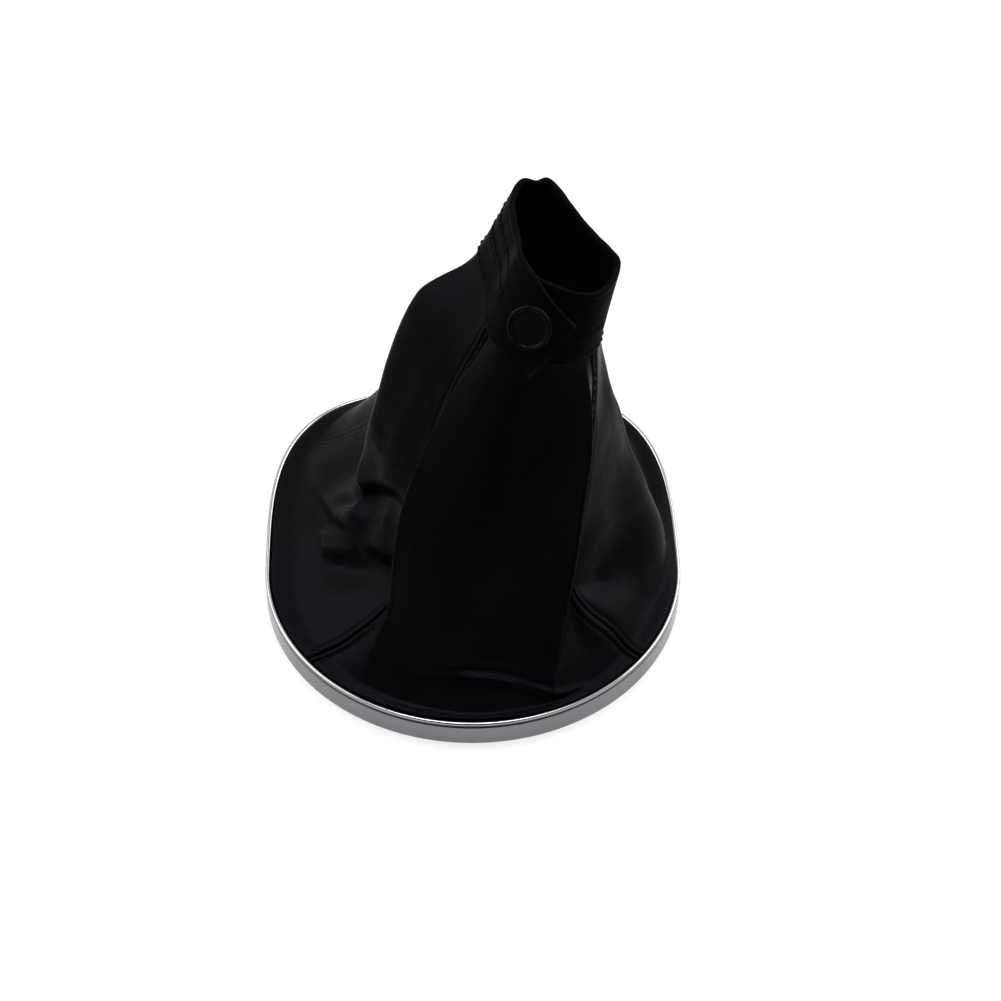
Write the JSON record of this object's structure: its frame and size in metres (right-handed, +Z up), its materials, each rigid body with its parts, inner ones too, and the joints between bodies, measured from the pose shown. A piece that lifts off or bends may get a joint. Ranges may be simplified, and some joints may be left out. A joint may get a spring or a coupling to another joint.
{
  "type": "gear lever gaiter with trim ring",
  "caption": "Black leather gear lever gaiter hanging in folds from a chromed trim ring to a leaning collar that a press stud closes.",
  "frame": {"origin": "centre of the trim ring's plan outline, on the plane that the ring stands on", "axes": "+Z up out of the ring; -Y to the front panel with the press stud; +X to the side that the neck leans to"},
  "size_m": [0.125, 0.13, 0.1261],
  "materials": {
    "chrome": "bright chrome plating on moulded plastic",
    "black_plastic": "fine matt moulding",
    "black_leather": "smooth satin grain",
    "black_enamel": "gloss black enamel",
    "snap_steel": "dull nickel"
  },
  "bodies": {
    "root": {"chrome_ring": "chrome", "base_frame": "black_plastic", "front_panel": "black_leather", "right_panel": "black_leather", "rear_panel": "black_leather", "left_panel": "black_leather", "collar_band": "black_leather", "snap_cap": "black_enamel", "snap_socket": "snap_steel", "snap_stud": "snap_steel", "snap_post": "snap_steel"}
  },
  "joints": []
}
